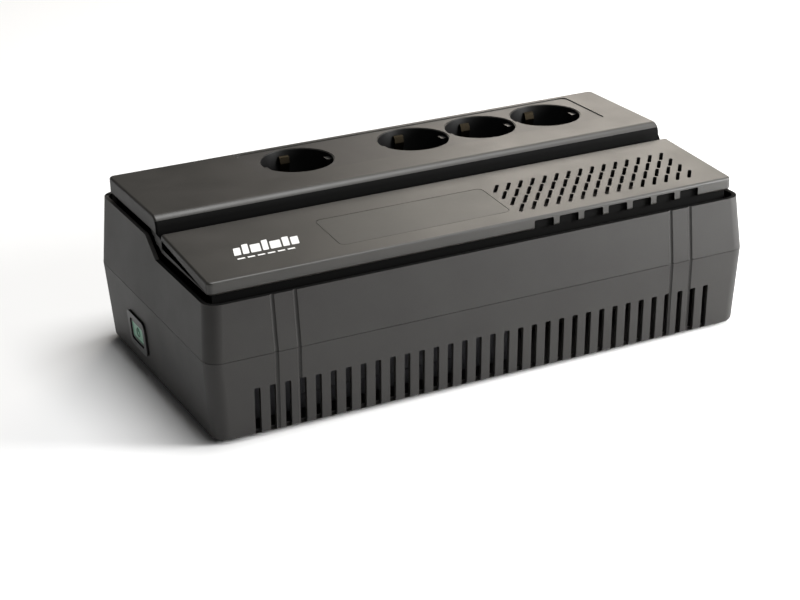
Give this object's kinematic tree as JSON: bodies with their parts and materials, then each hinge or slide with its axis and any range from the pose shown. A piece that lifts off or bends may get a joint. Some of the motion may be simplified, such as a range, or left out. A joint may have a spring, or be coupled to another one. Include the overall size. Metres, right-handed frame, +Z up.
{
  "type": "uninterruptible power supply",
  "caption": "Low desktop uninterruptible power supply with a stepped ribbed case, round side-earth sockets in the top and a lit power button on one end.",
  "frame": {"origin": "centre of the bounding box, on the surface the feet stand on", "axes": "+X along the length, away from the end with the power button; +Y from the long side under the vents towards the socket strip; +Z up"},
  "size_m": [0.3079, 0.161, 0.093],
  "materials": {
    "case_plastic": "fine textured charcoal ABS",
    "cover_plastic": "finely textured satin charcoal ABS",
    "socket_plastic": "satin black polycarbonate",
    "label_film": "matt black printed film",
    "white_print": "white pad-printed ink",
    "green_lens": "translucent lens lit green from behind",
    "rubber": "matt moulded rubber",
    "zinc_steel": "zinc-plated steel",
    "nickel_brass": "nickel-plated brass",
    "heat_sink_aluminium": "extruded and sawn",
    "core_steel": "stacked varnished laminations",
    "copper_winding": "varnished enamelled copper wire",
    "battery_plastic": "dark grey moulded ABS",
    "circuit_board": "green solder-masked glass epoxy",
    "black_epoxy": "moulded black epoxy",
    "capacitor_sleeve": "shrunk vinyl sleeve",
    "relay_case": "moulded relay cover",
    "red_pvc": "extruded PVC insulation",
    "black_pvc": "extruded PVC insulation",
    "red_terminal": "tinned tab marked red"
  },
  "bodies": {
    "case": {"alarm_sounder": "black_epoxy", "battery": "battery_plastic", "battery_lead_black": "black_pvc", "battery_lead_red": "red_pvc", "battery_tab_negative": "zinc_steel", "battery_tab_positive": "red_terminal", "breaker_body": "black_epoxy", "breaker_nut": "socket_plastic", "button_bezel": "socket_plastic", "button_board": "circuit_board", "capacitor_1": "capacitor_sleeve", "capacitor_2": "capacitor_sleeve", "contact_tray": "socket_plastic", "control_chip": "black_epoxy", "earth_strap_1": "nickel_brass", "earth_strap_2": "nickel_brass", "earth_strap_3": "nickel_brass", "earth_strap_4": "nickel_brass", "foot_1": "rubber", "foot_2": "rubber", "foot_3": "rubber", "foot_4": "rubber", "heat_sink": "heat_sink_aluminium", "housing_screw_1": "zinc_steel", "housing_screw_2": "zinc_steel", "housing_screw_3": "zinc_steel", "housing_screw_4": "zinc_steel", "indicator_led": "green_lens", "inlet_body": "socket_plastic", "inlet_pin_earth": "nickel_brass", "inlet_pin_live": "nickel_brass", "inlet_pin_neutral": "nickel_brass", "label_film": "label_film", "live_bar_backed": "nickel_brass", "live_bar_filtered": "nickel_brass", "lower_housing": "case_plastic", "main_board": "circuit_board", "neutral_bar": "nickel_brass", "outlet_insert": "socket_plastic", "relay_1": "relay_case", "relay_2": "relay_case", "relay_3": "relay_case", "tact_switch": "black_epoxy", "top_cover": "cover_plastic", "transformer_bracket": "zinc_steel", "transformer_coil": "copper_winding", "transformer_core": "core_steel", "transistor_1": "black_epoxy", "transistor_2": "black_epoxy", "transistor_3": "black_epoxy", "transistor_4": "black_epoxy", "upper_housing": "case_plastic"},
    "power_button": {"power_button": "green_lens"},
    "breaker_button": {"breaker_button": "socket_plastic"},
    "shutter_1": {"socket_shutter_1": "socket_plastic"},
    "shutter_2": {"socket_shutter_2": "socket_plastic"},
    "shutter_3": {"socket_shutter_3": "socket_plastic"},
    "shutter_4": {"socket_shutter_4": "socket_plastic"}
  },
  "joints": [
    {"name": "power_button_press", "type": "slide", "parent": "case", "child": "power_button", "axis": [0.9981, 0, 0.0611], "range_m": [0, 0.0015], "stiffness_N_per_m": 300},
    {"name": "breaker_button_trip", "type": "slide", "parent": "case", "child": "breaker_button", "axis": [0.9981, 0, -0.0611], "range_m": [0, 0.003]},
    {"name": "shutter_1_slide", "type": "slide", "parent": "case", "child": "shutter_1", "axis": [0, -1, 0], "range_m": [0, 0.006], "stiffness_N_per_m": 200},
    {"name": "shutter_2_slide", "type": "slide", "parent": "case", "child": "shutter_2", "axis": [0, -1, 0], "range_m": [0, 0.006], "stiffness_N_per_m": 200},
    {"name": "shutter_3_slide", "type": "slide", "parent": "case", "child": "shutter_3", "axis": [0, -1, 0], "range_m": [0, 0.006], "stiffness_N_per_m": 200},
    {"name": "shutter_4_slide", "type": "slide", "parent": "case", "child": "shutter_4", "axis": [0, -1, 0], "range_m": [0, 0.006], "stiffness_N_per_m": 200}
  ]
}
